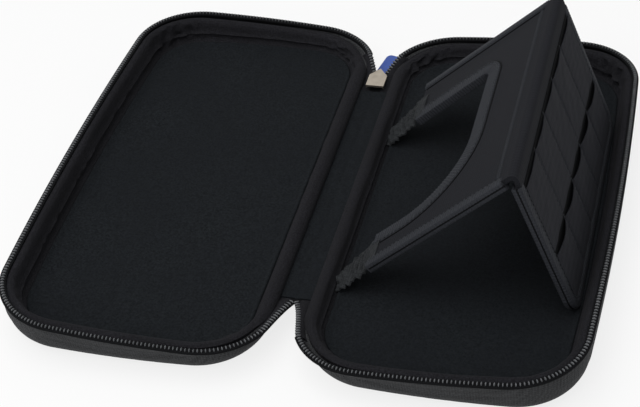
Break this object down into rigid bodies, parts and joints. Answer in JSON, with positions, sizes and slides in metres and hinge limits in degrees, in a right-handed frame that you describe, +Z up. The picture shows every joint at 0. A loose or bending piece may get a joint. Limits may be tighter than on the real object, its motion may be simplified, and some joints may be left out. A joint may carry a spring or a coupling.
{
  "type": "portable game console case",
  "caption": "Zippered clamshell travel case, open flat, with padded trays and a folding stand that has a cut-out and card pockets.",
  "frame": {"origin": "middle of the spine, on the surface that the open case lies on", "axes": "+X from the spine to the base tray with the stand, +Y along the spine to the slider, +Z up"},
  "size_m": [0.2912, 0.2728, 0.0895],
  "materials": {
    "shell_weave": "coarse woven polyester over a moulded shell",
    "lining_knit": "brushed knit lining over foam",
    "tape_weave": "woven zipper tape",
    "coil_nylon": "nylon coil with a soft gloss",
    "slider_metal": "plated die-cast metal",
    "board_cloth": "fine twill over board",
    "pocket_cloth": "ribbed stretch cloth",
    "binding_web": "ribbed binding tape",
    "strap_elastic": "gathered elastic",
    "pull_blue": "soft moulded plastic"
  },
  "bodies": {
    "base": {"base_shell": "shell_weave", "base_lining": "lining_knit", "base_floor_pad": "lining_knit", "base_zipper_tape": "tape_weave", "base_zipper_coil": "coil_nylon"},
    "spine": {"spine_strip": "lining_knit", "zipper_end_near": "tape_weave", "zipper_end_far": "tape_weave", "zipper_slider": "slider_metal"},
    "lid": {"lid_shell": "shell_weave", "lid_lining": "lining_knit", "lid_floor_pad": "lining_knit", "lid_zipper_tape": "tape_weave", "lid_zipper_coil": "coil_nylon"},
    "stand": {"stand_board": "board_cloth", "stand_binding": "binding_web", "cutout_binding": "binding_web", "near_strap": "strap_elastic", "far_strap": "strap_elastic", "fold_strip": "board_cloth"},
    "flap": {"flap_board": "board_cloth", "flap_binding": "binding_web", "pocket_row_upper": "pocket_cloth", "pocket_row_lower": "pocket_cloth"},
    "pull": {"pull_link": "slider_metal", "pull_tab": "pull_blue"}
  },
  "joints": [
    {"name": "spine_fold", "type": "hinge", "parent": "base", "child": "spine", "pos_m": [0.0082, 0, 0.013], "axis": [0, 1, 0], "range_deg": [0, 60]},
    {"name": "lid_fold", "type": "hinge", "parent": "spine", "child": "lid", "pos_m": [-0.0082, 0, 0.013], "axis": [0, 1, 0], "range_deg": [0, 60]},
    {"name": "stand_lift", "type": "hinge", "parent": "base", "child": "stand", "pos_m": [0.01996, 0, 0.0106], "axis": [0, -1, 0], "range_deg": [0, 20], "deforming": ["near_strap", "far_strap"]},
    {"name": "flap_fold", "type": "hinge", "parent": "stand", "child": "flap", "pos_m": [0.10156, 0, 0.08511], "axis": [0, 1, 0], "range_deg": [0, 40], "deforming": ["fold_strip"]},
    {"name": "pull_swing", "type": "hinge", "parent": "spine", "child": "pull", "pos_m": [0, 0.09925, 0.008], "axis": [1, 0, 0], "range_deg": [-18, 4]}
  ],
  "couplings": [
    {"joint": "lid_fold", "follows": "spine_fold", "ratio": 1},
    {"joint": "flap_fold", "follows": "stand_lift", "ratio": 2}
  ]
}
